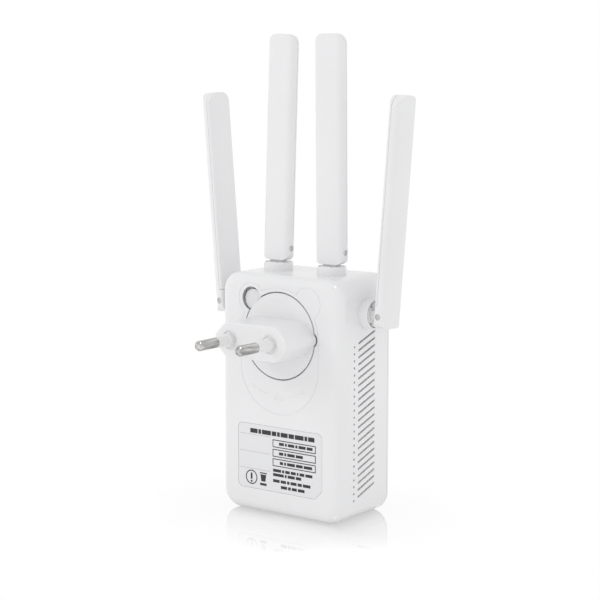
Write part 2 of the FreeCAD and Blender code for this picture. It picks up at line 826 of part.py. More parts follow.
def make_collar(place):
    """Open cup fixed on the housing round the stem's hole."""
    body = new_body(f"collar_blank_{place}")
    sketch = new_sketch(body, f"collar_profile_{place}", "XZ_Plane")
    bore = s.stem_hole_radius
    inner = s.collar_radius - s.collar_wall
    polygon(sketch, (
        (bore, 0), (s.collar_radius, 0), (s.collar_radius, s.collar_height), (inner, s.collar_height),
        (inner, s.collar_floor), (bore, s.collar_floor)))
    turn = revolve(body, sketch)
    fillet(body, turn, 0.5, lambda e: lies_at(e, "z", s.collar_height) and e.BoundBox.XLength > 11)
    body.Placement = seat_frame(place)
    keep(body, f"collar_{place}")


def make_swivel(place):
    """Stem, flange, drum and the tongue that carries the hinge pin, in one moulding."""
    body = new_body(f"swivel_blank_{place}")
    sketch = new_sketch(body, f"swivel_profile_{place}", "XZ_Plane")
    floor = s.collar_floor + 0.15
    foot = -s.wall - 2.4 - s.side_boss_height
    flange_top = floor + s.flange_height
    catch = -s.wall - 0.3
    if place.startswith("side"):
        catch = catch - s.side_boss_height
    polygon(sketch, (
        (s.stem_bore_radius, foot), (s.stem_radius - 0.5, foot), (s.stem_catch_radius, catch - 0.5),
        (s.stem_catch_radius, catch), (s.stem_radius, catch), (s.stem_radius, floor),
        (s.flange_radius, floor), (s.flange_radius, flange_top), (s.drum_radius, flange_top),
        (s.drum_radius, s.drum_top), (s.stem_bore_radius, s.drum_top)))
    drum = revolve(body, sketch)
    fillet(body, drum, 0.35, lambda e: lies_at(e, "z", s.drum_top) and e.BoundBox.XLength > 6)
    half = s.tongue_width / 2
    reach = s.tongue_radius
    hinge = s.hinge_height
    web = block(f"tongue_web_{place}", (-half, -reach, s.drum_top - 0.5), (half, reach, hinge))
    eye = rod(f"tongue_eye_{place}", (-half, 0, hinge), "+x", reach, s.tongue_width)
    solid = fuse(f"swivel_solid_{place}", body, web, eye)
    pin_hole = rod(f"tongue_hole_{place}", (-half - 1, 0, hinge), "+x", s.hinge_pin_radius + 0.05, s.tongue_width + 2)
    lead_hole = rod(f"tongue_bore_{place}", (0, 0, s.drum_top - 1), "+z", s.stem_bore_radius, hinge - s.drum_top - 0.6)
    notches = []
    for i, (x, y) in enumerate(((1, 1), (-1, 1), (1, -1), (-1, -1))):
        centre_x = s.drum_radius * (x * 0.6)
        centre_y = s.drum_radius * (y * 0.74)
        notches.append(block(f"notch_{place}_{i}", (centre_x - 0.9, centre_y - 0.6, s.drum_top - 1.1),
                             (centre_x + 0.9, centre_y + 0.6, s.drum_top + 1)))
    relief = block(f"stem_slot_{place}", (-0.5, -5, foot - 1), (0.5, 5, -1.0))
    shaped = cut(f"swivel_{place}", solid, pin_hole, lead_hole, relief, *notches)
    shaped.Placement = swivel_frame(place)
    keep(shaped, f"swivel_neck_{place}")


def crowned_face(sketch, low, high, crown):
    """Closed section across the paddle: straight low side, straight flanks and a crowned high side."""
    half = float(s.paddle_width) / 2
    first = sketch.GeometryCount
    corners = [Vector(-half, float(high), 0), Vector(-half, float(low), 0),
               Vector(half, float(low), 0), Vector(half, float(high), 0)]
    for start, end in zip(corners, corners[1:]):
        sketch.addGeometry(Part.LineSegment(start, end), False)
    middle = Vector(0, float(high + crown), 0)
    sketch.addGeometry(Part.Arc(corners[3], middle, corners[0]), False)
    for i in range(2):
        sketch.addConstraint(Sketcher.Constraint("Coincident", first + i, 2, first + i + 1, 1))
    arc = first + 3
    rises = float(crown) > 0
    sketch.addConstraint(Sketcher.Constraint("Coincident", first + 2, 2, arc, 1 if rises else 2))
    sketch.addConstraint(Sketcher.Constraint("Coincident", first, 1, arc, 2 if rises else 1))
    hold(sketch, "DistanceX", first, 1, -s.paddle_width / 2)
    hold(sketch, "DistanceY", first, 1, high)
    hold(sketch, "DistanceX", first, 2, -s.paddle_width / 2)
    hold(sketch, "DistanceY", first, 2, low)
    hold(sketch, "DistanceX", first + 1, 2, s.paddle_width / 2)
    hold(sketch, "DistanceY", first + 1, 2, low)
    hold(sketch, "DistanceX", first + 2, 2, s.paddle_width / 2)
    hold(sketch, "DistanceY", first + 2, 2, high)
    crown_radius = (half * half + float(crown) ** 2) / (2 * abs(float(crown)))
    sketch.addConstraint(Sketcher.Constraint("Radius", arc, crown_radius))


def paddle_half(name, low, high, crown, edge_round, start, end, foot_radius):
    """One half of the antenna's case, solid: a crowned bar, rounded along its edges and cut to the outline."""
    bar = new_body(name + "_bar")
    section = new_sketch(bar, name + "_section", "XY_Plane", start - 1)
    crowned_face(section, low, high, crown)
    length = pad(bar, section, end - start + 2)
    side = 1 if float(crown) > 0 else -1
    fillet(bar, length, edge_round,
           lambda e: runs_along(e, "z") and side * e.CenterOfMass.y > side * float(high) - 0.1)

    plate = new_body(name + "_plate")
    outline = new_sketch(plate, name + "_outline", "XZ_Plane", -5)
    rectangle(outline, (-s.paddle_width / 2, start), (s.paddle_width / 2, end))
    blank = pad(plate, outline, 10)
    tip = fillet(plate, blank, s.tip_radius, lambda e: runs_along(e, "y") and lies_at(e, "z", end))
    if foot_radius is not None:
        fillet(plate, tip, foot_radius, lambda e: runs_along(e, "y") and lies_at(e, "z", start))
    return common(name, bar, plate)


def make_outer_shell(place):
    """Full-length half of the antenna's case with the fork that holds the hinge pin."""
    start = -s.paddle_foot
    half = paddle_half(f"shell_blank_{place}", -s.parting, s.edge_outer, s.crown_outer, s.edge_outer_round,
                       start, s.paddle_tip, s.foot_radius)
    cheek = paddle_half(f"cheek_blank_{place}", -s.parting + 0.2, -s.edge_inner, -s.crown_inner,
                        s.edge_inner_round, start, s.inner_cover_foot + s.tip_radius, s.foot_radius)
    cheek_limit = block(f"cheek_limit_{place}", (-10, -6, -6), (10, 6, s.inner_cover_foot - s.parting_gap))
    cheeks = common(f"cheeks_{place}", cheek, cheek_limit)
    solid = fuse(f"shell_solid_{place}", half, cheeks)
    inner = s.paddle_width / 2 - s.paddle_wall
    rim_seat = block(f"shell_rim_seat_{place}", (-inner, -3, s.inner_cover_foot + 1.0),
                     (inner, 0.1, s.paddle_tip - 3.2))
    hollow = block(f"shell_hollow_{place}", (-inner + 0.6, -3, s.inner_cover_foot + 1.0),
                   (inner - 0.6, s.edge_outer - s.paddle_wall, s.paddle_tip - 3.2))
    fork = block(f"fork_{place}", (-s.fork_width / 2, -4, start - 1),
                 (s.fork_width / 2, s.fork_reach, s.fork_reach + 0.3))
    lead = rod(f"shell_lead_{place}", (0, 0, 0), "+z", s.stem_bore_radius, s.inner_cover_foot + 2)
    shaft = rod(f"shell_shaft_{place}", (-10, 0, 0), "+x", s.hinge_pin_radius, 20)
    heads = [
        rod(f"shell_head_a_{place}", (-s.paddle_width / 2 - 1, 0, 0), "+x", s.hinge_head_radius,
            s.hinge_head_length + 1),
        rod(f"shell_head_b_{place}", (s.paddle_width / 2 + 1, 0, 0), "-x", s.hinge_head_radius,
            s.hinge_head_length + 1),
    ]
    shaped = cut(f"shell_{place}", solid, rim_seat, hollow, fork, lead, shaft, *heads)
    shaped.Placement = paddle_frame(place)
    keep(shaped, f"outer_shell_{place}")


def make_inner_cover(place):
    """Shorter half of the antenna's case, ending above the fork."""
    blank = paddle_half(f"cover_blank_{place}", -s.parting - s.parting_gap, -s.edge_inner, -s.crown_inner,
                        s.edge_inner_round, s.inner_cover_foot, s.paddle_tip, None)
    inner = s.paddle_width / 2 - s.paddle_wall
    hollow = block(f"cover_hollow_{place}", (-inner + 0.6, -s.edge_inner - s.crown_inner * 0.55 + 0.6,
                                             s.inner_cover_foot + 1.6),
                   (inner - 0.6, 0, s.paddle_tip - 3.8))
    rim_outer = block(f"rim_outer_{place}", (-inner + 0.05, -s.edge_inner, s.inner_cover_foot + 1.05),
                      (inner - 0.05, 0, s.paddle_tip - 3.25))
    rim_inner = block(f"rim_inner_{place}", (-inner + 0.6, -3, s.inner_cover_foot + 1.6),
                      (inner - 0.6, 3, s.paddle_tip - 3.8))
    rim = cut(f"rim_{place}", rim_outer, rim_inner)
    plate = cut(f"cover_plate_{place}", blank, hollow)
    shaped = fuse(f"inner_cover_{place}", plate, rim)
    shaped.Placement = paddle_frame(place)
    keep(shaped, f"inner_cover_{place}")


def make_hinge_pin(place):
    """Riveted pin: shaft with a head in each cheek."""
    half = s.paddle_width / 2 - s.hinge_pin_sink
    head_length = s.hinge_head_length - s.hinge_pin_sink
    shaft = rod(f"pin_shaft_{place}", (-half, 0, 0), "+x", s.hinge_pin_radius, half * 2)
    head_a = rod(f"pin_head_a_{place}", (-half, 0, 0), "+x", s.hinge_head_radius, head_length)
    head_b = rod(f"pin_head_b_{place}", (half, 0, 0), "-x", s.hinge_head_radius, head_length)
    item = fuse(f"hinge_{place}", shaft, head_a, head_b)
    item.Placement = paddle_frame(place)
    keep(item, f"hinge_pin_{place}")


def make_radiator(place):
    """Printed antenna strip inside the case."""
    inner = s.paddle_width / 2 - s.paddle_wall - 1.0
    strip = block(f"strip_{place}", (-inner, 0.15, s.inner_cover_foot + 4), (inner, 0.95, s.paddle_tip - 12))
    item = doc.addObject("Part::Compound", f"radiator_{place}")
    item.Links = [strip]
    item.Placement = paddle_frame(place)
    keep(item, f"radiator_{place}")


def make_antenna(place):
    make_collar(place)
    make_swivel(place)
    make_outer_shell(place)
    make_inner_cover(place)
    make_hinge_pin(place)
    make_radiator(place)


# ---- boards and what they carry ----------------------------------------------------------

def screw(name, x, y, z, toward):
    """Pan-head screw whose head's underside is at y."""
    back = "-y" if toward == "+y" else "+y"
    shank = rod(name + "_shank", (x, y, z), toward, s.screw_radius, s.screw_length)
    head = rod(name + "_head", (x, y, z), back, s.screw_head_radius, s.screw_head_height)
    return fuse(name, shank, head)


def screw_group(label, post_x, levels, y, toward):
    pieces = []
    for side, x in (("left", -post_x), ("right", post_x)):
        for level, z in enumerate(levels):
            pieces.append(screw(f"{label}_{side}_{level}", x, y, z, toward))
    item = doc.addObject("Part::Compound", label + "_group")
    item.Links = pieces
    keep(item, label)


def board(name, width, low, high, y, post_x, levels):
    plate = block(name + "_plate", (-width / 2, y, low), (width / 2, y + s.board_thickness, high))
    holes = [rod(f"{name}_hole_{side}_{i}", (x, y - 1, z), "+y", s.screw_radius + 0.15, s.board_thickness + 2)
             for side, x in (("left", -post_x), ("right", post_x)) for i, z in enumerate(levels)]
    return keep(cut(name + "_drilled", plate, *holes), name)


def make_boards():
    board("main_board", s.main_board_width, s.main_board_low, s.main_board_high, s.main_board_y,
          s.main_post_x, (s.main_post_low, s.main_post_high))
    board("power_board", s.power_board_width, s.power_board_low, s.power_board_high, s.power_board_y,
          s.power_post_x, (s.power_post_low, s.power_post_high))
    screw_group("main_board_screws", s.main_post_x, (s.main_post_low, s.main_post_high),
                s.main_board_y + s.board_thickness, "-y")
    screw_group("power_board_screws", s.power_post_x, (s.power_post_low, s.power_post_high),
                s.power_board_y, "+y")


def make_chips():
    """Parts on the rear face of the main board."""
    face = s.main_board_y + s.board_thickness
    chip = block("chip_body", (-7, face, 40), (7, face + 1.1, 54))
    keep(chip, "router_chip")
    memory = block("memory_body", (-19, face, 42), (-12, face + 1.0, 52))
    keep(memory, "memory_chip")
    can = block("can_outer", (-12, face, 57), (12, face + 2.4, 70))
    space = block("can_space", (-11.7, face - 1, 57.3), (11.7, face + 2.1, 69.7))
    keep(cut("can", can, space), "rf_shield")


def make_jacks():
    for side, x in (("left", -s.jack_x), ("right", s.jack_x)):
        low = s.wall + 0.1
        front = s.main_board_y + s.board_thickness
        case = block(f"jack_case_{side}", (x - s.jack_width / 2, front, low),
                     (x + s.jack_width / 2, front + s.jack_depth, low + s.jack_height))
        mouth = jack_mouth(f"jack_mouth_{side}", x, low - 1, low + s.jack_height - s.jack_wall, Size(0, "0"))
        keep(cut(f"jack_{side}", case, mouth), f"network_socket_{side}")


def make_power_parts():
    """Parts on the front face of the power board, and the springs that feed it."""
    face = s.power_board_y
    core = block("transformer_core", (-7.5, face - 9.6, 46), (7.5, face, 60))
    keep(core, "transformer")
    for i, x in enumerate((14.6, -14.6)):
        can = rod(f"bulk_can_{i}", (x, face - 4.2, 34), "+z", 4.0, 13.5)
        keep(can, ("input_capacitor", "output_capacitor")[i])
    bridge = block("bridge_body", (-8, face - 2.4, 33), (0, face, 39))
    keep(bridge, "bridge_rectifier")
    resistor = rod("fuse_body", (3.5, face - 1.6, 36.5), "+x", 1.4, 6.0)
    keep(resistor, "fuse_resistor")


def make_mains_springs():
    """Leaf contacts on the power board under the plug's pins."""
    base = float(s.power_board_y + s.board_thickness)
    top = float(rear_y - s.disc_thickness - s.hub_length) - 0.6 - 0.35
    thickness = 0.35
    width = 3.6
    z = float(s.disc_height)
    for side, x in (("left", -float(s.pin_spacing) / 2), ("right", float(s.pin_spacing) / 2)):
        out = -1 if side == "left" else 1
        path = [(out * 6.0, 0), (out * 2.2, 0), (-out * 1.6, top - base - thickness), (-out * 3.2, top - base - thickness)]
        upper = [Vector(x + px, base + py + thickness, z - width / 2) for px, py in path]
        lower = [Vector(x + px, base + py, z - width / 2) for px, py in reversed(path)]
        outline = Part.makePolygon(upper + lower + [upper[0]])
        item = doc.addObject("Part::Feature", f"mains_leaf_{side}")
        item.Shape = Part.Face(outline).extrude(Vector(0, 0, width))
        keep(item, f"mains_spring_{side}")


def make_lights():
    """Bar with four light pipes behind the front cover, and the button beside it."""
    back = s.main_board_y - 1.2
    bar_y = front_y + s.cover_depth + 0.6
    bar = block("light_bar", (-s.light_pitch * 1.5 - 2, bar_y, s.light_height - 2),
                (s.light_pitch * 1.5 + 2, bar_y + 1.4, s.light_height + 2))
    pipes = [rod(f"light_pipe_{i}", (s.light_pitch * (i - 1.5), front_y, s.light_height), "+y",
                 s.light_radius, back - front_y) for i in range(4)]
    keep(fuse("light_guide_shape", bar, *pipes), "light_guide")
    lamps = [block(f"lamp_{i}", (s.light_pitch * (i - 1.5) - 0.8, s.main_board_y - 0.8, s.light_height - 0.6),
                   (s.light_pitch * (i - 1.5) + 0.8, s.main_board_y, s.light_height + 0.6)) for i in range(4)]
    item = doc.addObject("Part::Compound", "lamp_group")
    item.Links = lamps
    keep(item, "status_lamps")


def make_wps_button():
    """Push button in the front cover over a small switch on the main board."""
    flange_y = front_y + s.cover_depth + 0.3
    face = rod("wps_face", (0, front_y - 0.4, s.wps_height), "+y", s.wps_radius, s.cover_depth + 1.2)
    flange = rod("wps_flange_disc", (0, flange_y, s.wps_height), "+y", s.wps_flange, 0.9)
    stalk = rod("wps_stalk", (0, flange_y, s.wps_height), "+y", 1.5, 1.7)
    keep(fuse("wps_shape", face, flange, stalk), "wps_button")
    case = block("switch_case", (-2.5, s.main_board_y - 1.6, s.wps_height - 2.5),
                 (2.5, s.main_board_y, s.wps_height + 2.5))
    keep(case, "wps_switch")


# ---- leads ---------------------------------------------------------------------------------

def bent_path(start, corner, end, radius):
    """Straight run, tangent arc and straight run through one corner."""
    first = (start - corner).normalize()
    second = (end - corner).normalize()
    turn = math.pi - first.getAngle(second)
    reach = radius * math.tan(turn / 2)
    enter = corner + first * reach
    leave = corner + second * reach
    bisector = (first + second).normalize()
    middle = corner + bisector * (radius / math.cos(turn / 2) - radius)
    edges = [
        Part.LineSegment(start, enter).toShape(),
        Part.Arc(enter, middle, leave).toShape(),
        Part.LineSegment(leave, end).toShape(),
    ]
    return Part.Wire(edges)


def make_lead(place, start, corner, end):
    radius = float(s.lead_radius)
    bend = float(s.lead_bend)
    path = bent_path(start, corner, end, bend)
    profile = Part.Wire([Part.makeCircle(radius, start, corner - start)])
    tube = path.makePipeShell([profile], True, True)
    expected = math.pi * radius ** 2 * path.Length
    print(f"lead {place}: bend radius {bend}, volume {tube.Volume:.2f} of {expected:.2f}")
    item = doc.addObject("Part::Feature", f"lead_shape_{place}")
    item.Shape = tube
    keep(item, f"antenna_lead_{place}")


def make_leads():
    board_y = float(s.main_board_y + s.board_thickness) + 1.5
    foot = float(s.wall + 2.4 + s.side_boss_height) + 0.4
    connectors = []
    for place in PLACES:
        seat = seat_frame(place)
        start = seat.multVec(Vector(0, 0, -foot))
        if place.startswith("top"):
            corner = Vector(start.x, start.y, 76.0)
        else:
            corner = start - Vector(math.copysign(5.6, start.x), 0, 0)
        end = Vector(corner.x, board_y, corner.z)
        make_lead(place, start, corner, end)
        connectors.append(rod(f"connector_{place}", (end.x, s.main_board_y + s.board_thickness, end.z), "+y", 1.5, 1.5))
    item = doc.addObject("Part::Compound", "connector_group")
    item.Links = connectors
    keep(item, "antenna_connectors")


# ---- build and write -------------------------------------------------------------------------

def check_and_write():
    doc.recompute()
    for item in doc.Objects:
        if "Invalid" in item.State or "Error" in item.State:
            raise RuntimeError(f"{item.Name} failed: {item.State}")
    os.makedirs("parts", exist_ok=True)
    for item in nodes:
        shape = item.Shape
        if shape.isNull() or not shape.isValid():
            raise RuntimeError(f"{item.Label} has a bad shape")
        print(f"{item.Label}: {len(shape.Solids)} solid, {shape.Volume:.1f} mm3")
        shape.exportStep(f"parts/{item.Label}.step")


make_tub()
make_cover()
make_plug_body()
make_pins()
make_back_plate()
make_release_button()
make_release_spring()
make_label()
for antenna_place in PLACES:
    make_antenna(antenna_place)
make_boards()
make_chips()
make_jacks()
make_power_parts()
make_mains_springs()
make_lights()
make_wps_button()
make_leads()
check_and_write()
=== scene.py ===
import json
import math

import bmesh
import bpy
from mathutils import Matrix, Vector


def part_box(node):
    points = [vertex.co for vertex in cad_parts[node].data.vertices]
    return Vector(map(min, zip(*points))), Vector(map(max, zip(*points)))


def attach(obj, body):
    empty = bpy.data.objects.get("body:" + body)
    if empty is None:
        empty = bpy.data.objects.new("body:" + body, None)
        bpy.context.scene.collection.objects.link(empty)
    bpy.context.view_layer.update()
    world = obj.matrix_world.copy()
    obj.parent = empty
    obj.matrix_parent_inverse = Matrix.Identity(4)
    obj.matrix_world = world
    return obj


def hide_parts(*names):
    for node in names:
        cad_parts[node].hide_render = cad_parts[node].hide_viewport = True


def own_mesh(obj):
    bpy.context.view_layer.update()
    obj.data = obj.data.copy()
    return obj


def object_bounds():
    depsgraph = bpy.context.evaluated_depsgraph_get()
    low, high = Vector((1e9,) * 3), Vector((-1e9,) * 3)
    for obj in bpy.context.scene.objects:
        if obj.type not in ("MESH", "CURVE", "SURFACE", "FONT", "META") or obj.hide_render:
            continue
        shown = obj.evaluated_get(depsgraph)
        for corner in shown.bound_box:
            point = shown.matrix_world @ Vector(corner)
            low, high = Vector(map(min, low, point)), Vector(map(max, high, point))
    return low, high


# Looks of a wall-plug wifi range extender: materials for the CAD pieces, the printed and moulded
# detail that the CAD leaves plain, a studio and the camera. Metres, in the CAD model's frame.

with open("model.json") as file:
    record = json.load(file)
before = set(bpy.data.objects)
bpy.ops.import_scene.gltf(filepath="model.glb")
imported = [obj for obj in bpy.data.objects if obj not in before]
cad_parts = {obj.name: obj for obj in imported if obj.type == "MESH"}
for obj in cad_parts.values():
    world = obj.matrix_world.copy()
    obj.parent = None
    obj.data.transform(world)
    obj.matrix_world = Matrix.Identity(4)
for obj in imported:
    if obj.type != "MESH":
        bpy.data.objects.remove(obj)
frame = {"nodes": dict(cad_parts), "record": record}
cad_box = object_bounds()
record = frame["record"]
MM = 0.001


# ---- materials -------------------------------------------------------------------------

GRAIN_DEPTH = 0.02 * MM
TRACK_DEPTH = 0.03 * MM


def new_material(name):
    """Material with an empty Principled shader; returns it with its nodes, links and shader."""
    material = bpy.data.materials.new(name)
    material.use_nodes = True
    tree = material.node_tree
    shader = tree.nodes["Principled BSDF"]
    return material, tree, shader


def noise(tree, scale, detail=3.0, vector=None):
    """Noise in object space, so that it stays with the piece."""
    texture = tree.nodes.new("ShaderNodeTexNoise")
    texture.inputs["Scale"].default_value = scale
    texture.inputs["Detail"].default_value = detail
    if vector is None:
        vector = tree.nodes.new("ShaderNodeTexCoord").outputs["Object"]
    tree.links.new(vector, texture.inputs["Vector"])
    return texture.outputs["Fac"]


def spread(tree, value, low, high):
    """Maps a 0.3 to 0.7 noise value to a range."""
    remap = tree.nodes.new("ShaderNodeMapRange")
    remap.inputs["From Min"].default_value = 0.3
    remap.inputs["From Max"].default_value = 0.7
    remap.inputs["To Min"].default_value = low
    remap.inputs["To Max"].default_value = high
    tree.links.new(value, remap.inputs["Value"])
    return remap.outputs["Result"]


def tint(tree, value, first, second):
    """Colour between two colours."""
    mix = tree.nodes.new("ShaderNodeMix")
    mix.data_type = "RGBA"
    mix.inputs["A"].default_value = (*first, 1)
    mix.inputs["B"].default_value = (*second, 1)
    tree.links.new(value, mix.inputs["Factor"])
    return mix.outputs["Result"]


def add_bump(tree, shader, value, strength, distance):
    bump = tree.nodes.new("ShaderNodeBump")
    bump.inputs["Strength"].default_value = strength
    bump.inputs["Distance"].default_value = distance
    tree.links.new(value, bump.inputs["Height"])
    tree.links.new(bump.outputs["Normal"], shader.inputs["Normal"])


def plastic(name, color, roughness, grain=0.12, vary=0.015):
    """Moulded plastic: slight flow marks in the colour, uneven gloss and a fine spark-eroded grain."""
    material, tree, shader = new_material(name)
    flow = noise(tree, 26.0, 2.0)
    darker = tuple(c * (1 - vary) for c in color)
    lighter = tuple(c * (1 + vary) for c in color)
    tree.links.new(tint(tree, spread(tree, flow, 0.0, 1.0), darker, lighter), shader.inputs["Base Color"])
    gloss = noise(tree, 140.0, 4.0)
    tree.links.new(spread(tree, gloss, roughness * 0.95, roughness * 1.06), shader.inputs["Roughness"])
    shader.inputs["Specular IOR Level"].default_value = 0.5
    add_bump(tree, shader, noise(tree, 2600.0, 2.0), grain, GRAIN_DEPTH)
    return material


def metal(name, color, roughness, streak_and_reflection_scale=(900.0, 900.0, 60.0), streak_and_reflection_dark=0.9):
    """Metal with drawn streaks that vary its gloss; the darkest of them keeps the given share of the
    colour. A low share paints near-black reflection bands into the colour.
    """
    material, tree, shader = new_material(name)
    coordinates = tree.nodes.new("ShaderNodeTexCoord")
    mapping = tree.nodes.new("ShaderNodeMapping")
    mapping.inputs["Scale"].default_value = streak_and_reflection_scale
    tree.links.new(coordinates.outputs["Object"], mapping.inputs["Vector"])
    lines = noise(tree, 1.0, 4.0, mapping.outputs["Vector"])
    darker = tuple(c * streak_and_reflection_dark for c in color)
    tree.links.new(tint(tree, spread(tree, lines, 0.0, 1.0), darker, color), shader.inputs["Base Color"])
    tree.links.new(spread(tree, lines, roughness * 0.7, roughness * 1.4), shader.inputs["Roughness"])
    shader.inputs["Metallic"].default_value = 1.0
    add_bump(tree, shader, lines, 0.08, GRAIN_DEPTH)
    return material


def board_laminate(name, color):
    """Solder mask with faint copper tracks under it."""
    material, tree, shader = new_material(name)
    coordinates = tree.nodes.new("ShaderNodeTexCoord")
    brick = tree.nodes.new("ShaderNodeTexBrick")
    brick.inputs["Scale"].default_value = 260.0
    brick.inputs["Mortar Size"].default_value = 0.03
    shades = {"Color1": 1.0, "Color2": 1.25, "Mortar": 1.9}
    for socket, shade in shades.items():
        brick.inputs[socket].default_value = (*(c * shade for c in color), 1)
    tree.links.new(coordinates.outputs["Object"], brick.inputs["Vector"])
    tree.links.new(brick.outputs["Color"], shader.inputs["Base Color"])
    tree.links.new(spread(tree, noise(tree, 300.0), 0.3, 0.45), shader.inputs["Roughness"])
    add_bump(tree, shader, brick.outputs["Fac"], 0.2, TRACK_DEPTH)
    return material


WHITE = (0.805, 0.805, 0.815)
MATERIALS = {
    "housing_white": plastic("housing_plastic", WHITE, 0.15),
    "button_white": plastic("button_plastic", (0.77, 0.77, 0.78), 0.3),
    "plug_white": plastic("plug_plastic", WHITE, 0.32),
    "sleeve_white": plastic("sleeve_plastic", (0.78, 0.78, 0.785), 0.34),
    "label_film": plastic("label_film", (0.76, 0.76, 0.775), 0.34, grain=0.05),
    "collar_white": plastic("collar_plastic", WHITE, 0.22),
    "neck_white": plastic("neck_plastic", (0.79, 0.79, 0.795), 0.26),
    "antenna_white": plastic("antenna_plastic", (0.80, 0.80, 0.81), 0.24),
    # The pins' streaks go down to 0.13 of the colour: painted reflection, near-black bands in the colour
    # that stand in for the surroundings the pins mirror.
    "pin_metal": metal("pin_nickel_painted_reflection", (0.80, 0.79, 0.77), 0.07, streak_and_reflection_scale=(560.0, 70.0, 560.0), streak_and_reflection_dark=0.13),
    "hinge_steel": metal("hinge_steel", (0.66, 0.66, 0.66), 0.45),
    "screw_steel": metal("screw_steel", (0.60, 0.60, 0.60), 0.32),
    "shield_steel": metal("shield_steel", (0.66, 0.66, 0.67), 0.30),
    "contact_brass": metal("contact_brass", (0.72, 0.55, 0.25), 0.28),
    "radiator_laminate": board_laminate("radiator_laminate", (0.03, 0.16, 0.07)),
    "board_laminate": board_laminate("board_laminate", (0.02, 0.12, 0.05)),
    "lead_jacket": plastic("lead_jacket", (0.07, 0.07, 0.07), 0.5, vary=0.1),
    "chip_black": plastic("chip_black", (0.02, 0.02, 0.02), 0.55, vary=0.2),
    "socket_black": plastic("socket_black", (0.03, 0.03, 0.03), 0.45, vary=0.2),
    "transformer_tape": plastic("transformer_tape", (0.62, 0.48, 0.06), 0.4, vary=0.06),
    "capacitor_sleeve": plastic("capacitor_sleeve", (0.02, 0.03, 0.08), 0.3, vary=0.2),
    "resistor_body": plastic("resistor_body", (0.22, 0.34, 0.28), 0.5, vary=0.1),
    "light_clear": plastic("light_clear", (0.66, 0.69, 0.72), 0.2, vary=0.02),
}
INK = plastic("label_ink", (0.025, 0.025, 0.028), 0.5, vary=0.25)
PALE_INK = plastic("label_pale_ink", (0.36, 0.36, 0.37), 0.5, vary=0.1)

SLOT_OF = {part["node"]: part["material_slot"] for part in record["subparts"]}
BODY_OF = {node: body for body, nodes in record["behaviour"]["bodies"].items() for node in nodes}

for node, item in frame["nodes"].items():
    item.data.materials.clear()
    item.data.materials.append(MATERIALS[SLOT_OF[node]])


# ---- label: generic marks ----------------------------------------------------------------

label_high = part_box("rating_label")[1]
LABEL_RIGHT = label_high.x
LABEL_TOP = label_high.z
LABEL_FACE = label_high.y
INK_THICK = 0.03 * MM


def flat_piece(name, outlines, material):
    """Thin printed piece on the label: each outline is a list of (x, z) points and is extruded."""
    mesh = bmesh.new()
    for outline in outlines:
        base = [mesh.verts.new((x, LABEL_FACE, z)) for x, z in outline]
        face = mesh.faces.new(base)
        top = bmesh.ops.extrude_face_region(mesh, geom=[face])
        moved = [v for v in top["geom"] if isinstance(v, bmesh.types.BMVert)]
        bmesh.ops.translate(mesh, verts=moved, vec=(0, INK_THICK, 0))
    bmesh.ops.recalc_face_normals(mesh, faces=mesh.faces)
    data = bpy.data.meshes.new(name)
    mesh.to_mesh(data)
    mesh.free()
    item = bpy.data.objects.new(name, data)
    bpy.context.scene.collection.objects.link(item)
    data.materials.append(material)
    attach(item, BODY_OF["rating_label"])


def label_point(right, down):
    """Point on the label from millimetres right of its reader's left edge and below its top edge."""
    return LABEL_RIGHT - right * MM, LABEL_TOP - down * MM


def rectangle(left, top, width, height):
    """Outline of an upright box, in the label's millimetres."""
    x0, z0 = label_point(left, top)
    x1, z1 = label_point(left + width, top + height)
    return [(x0, z0), (x1, z0), (x1, z1), (x0, z1)]


def word_bars(left, top, widths, height, gap):
    """Row of short bars that stands for a printed line without spelling anything."""
    bars = []
    for width in widths:
        bars.append(rectangle(left, top, width, height))
        left += width + gap
    return bars


def box_outline(left, top, width, height, line):
    """Frame of four bars."""
    return [
        rectangle(left, top, width, line),
        rectangle(left, top + height - line, width, line),
        rectangle(left, top + line, line, height - 2 * line),
        rectangle(left + width - line, top + line, line, height - 2 * line),
    ]


def around(cx, cy, radius, angle):
    """Point at an angle on a circle about a point of the label."""
    x, z = label_point(cx, cy)
    return x - radius * MM * math.cos(angle), z + radius * MM * math.sin(angle)


def disc(cx, cy, radius, count):
    return [around(cx, cy, radius, 2 * math.pi * i / count) for i in range(count)]


def ring(cx, cy, radius, line, count):
    """Ring as one quad per step, so that its middle stays open."""
    quads = []
    for i in range(count):
        a, b = 2 * math.pi * i / count, 2 * math.pi * (i + 1) / count
        corners = ((radius, a), (radius, b), (radius - line, b), (radius - line, a))
        quads.append([around(cx, cy, r, angle) for r, angle in corners])
    return quads


def make_title():
    widths = (3.6, 1.3, 4.4, 2.2, 1.3, 3.4, 2.6, 4.2, 1.3, 3.0)
    title = word_bars(5.9, 1.75, widths, height=1.75, gap=0.42)
    flat_piece("label_title", title, INK)


def make_boxes():
    first_top, pitch = 4.85, 3.72
    boxes = []
    for row in range(3):
        boxes += box_outline(16.9, first_top + row * pitch, width=20.7, height=3.05, line=0.34)
    flat_piece("label_boxes", boxes, INK)


def make_lines():
    """Rows of bars: three inside the boxes and four below them."""
    rows = (
        (20.0, 5.75, (2.4, 0.9, 3.1, 1.0, 3.4, 2.8)),
        (20.0, 9.55, (2.1, 0.9, 3.6, 3.4)),
        (20.4, 13.25, (1.6, 0.9, 3.8, 3.2, 4.0)),
        (17.1, 16.4, (3.9, 1.0, 2.2, 2.4, 0.8, 2.3, 3.3)),
        (17.1, 18.1, (5.2, 0.9, 3.4, 2.6)),
        (17.1, 20.5, (3.2, 2.6, 1.2, 2.9, 2.0, 3.6)),
        (20.9, 22.7, (3.0, 1.3, 2.4, 3.2)),
    )
    lines = []
    for left, top, widths in rows:
        lines += word_bars(left, top, widths, height=1.15, gap=0.5)
    flat_piece("label_lines", lines, INK)


def make_rules():
    """Three thin rules across the label's left part."""
    rules = [rectangle(0.6, top, 15.0, 0.10) for top in (4.1, 10.9, 17.7)]
    flat_piece("label_rules", rules, PALE_INK)


